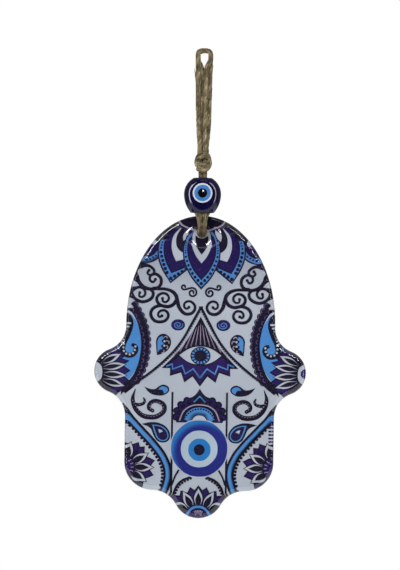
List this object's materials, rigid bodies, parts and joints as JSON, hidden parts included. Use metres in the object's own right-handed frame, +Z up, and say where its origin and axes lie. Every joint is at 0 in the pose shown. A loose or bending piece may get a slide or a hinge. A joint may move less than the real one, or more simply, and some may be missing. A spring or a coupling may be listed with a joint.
{
  "type": "hamsa hand ornament",
  "caption": "Hanging hand-shaped ornament of printed glass, with a blue eye bead above it, threaded on knotted jute twine that loops over a nail.",
  "frame": {"origin": "axis of the nail at the middle of the hanging loops' bights", "axes": "+Z up along the hanging twine, +Y from the printed front towards the wall, +X to the viewer's right"},
  "size_m": [0.1, 0.013, 0.222],
  "materials": {
    "clear_glass": "polished",
    "printed_film": "printed",
    "white_backing": "matt",
    "cobalt_glass": "polished",
    "white_glass": "polished",
    "light_blue_glass": "polished",
    "black_glass": "polished",
    "jute_twine": "twisted fibre"
  },
  "bodies": {
    "hanger": {"hanging_loop_front": "jute_twine", "hanging_loop_back": "jute_twine", "cord_knot": "jute_twine"},
    "lower_cord": {"lower_loop_left": "jute_twine", "lower_loop_right": "jute_twine"},
    "bead": {"bead_body": "cobalt_glass", "bead_eye_white": "white_glass", "bead_eye_blue": "light_blue_glass", "bead_eye_pupil": "black_glass"},
    "plaque": {"glass_hand": "clear_glass", "print_film": "printed_film", "backing_sheet": "white_backing"}
  },
  "joints": [
    {"name": "cord_swing", "type": "hinge", "parent": "hanger", "child": "lower_cord", "pos_m": [0, 0, -0.0542], "axis": [1, 0, 0], "range_deg": [-20, 20]},
    {"name": "bead_spin", "type": "hinge", "parent": "lower_cord", "child": "bead", "pos_m": [0, 0, -0.0648], "axis": [0, 0, 1], "continuous": true},
    {"name": "plaque_rock", "type": "hinge", "parent": "lower_cord", "child": "plaque", "pos_m": [0, 0, -0.083], "axis": [0, 1, 0], "range_deg": [-20, 20]}
  ]
}
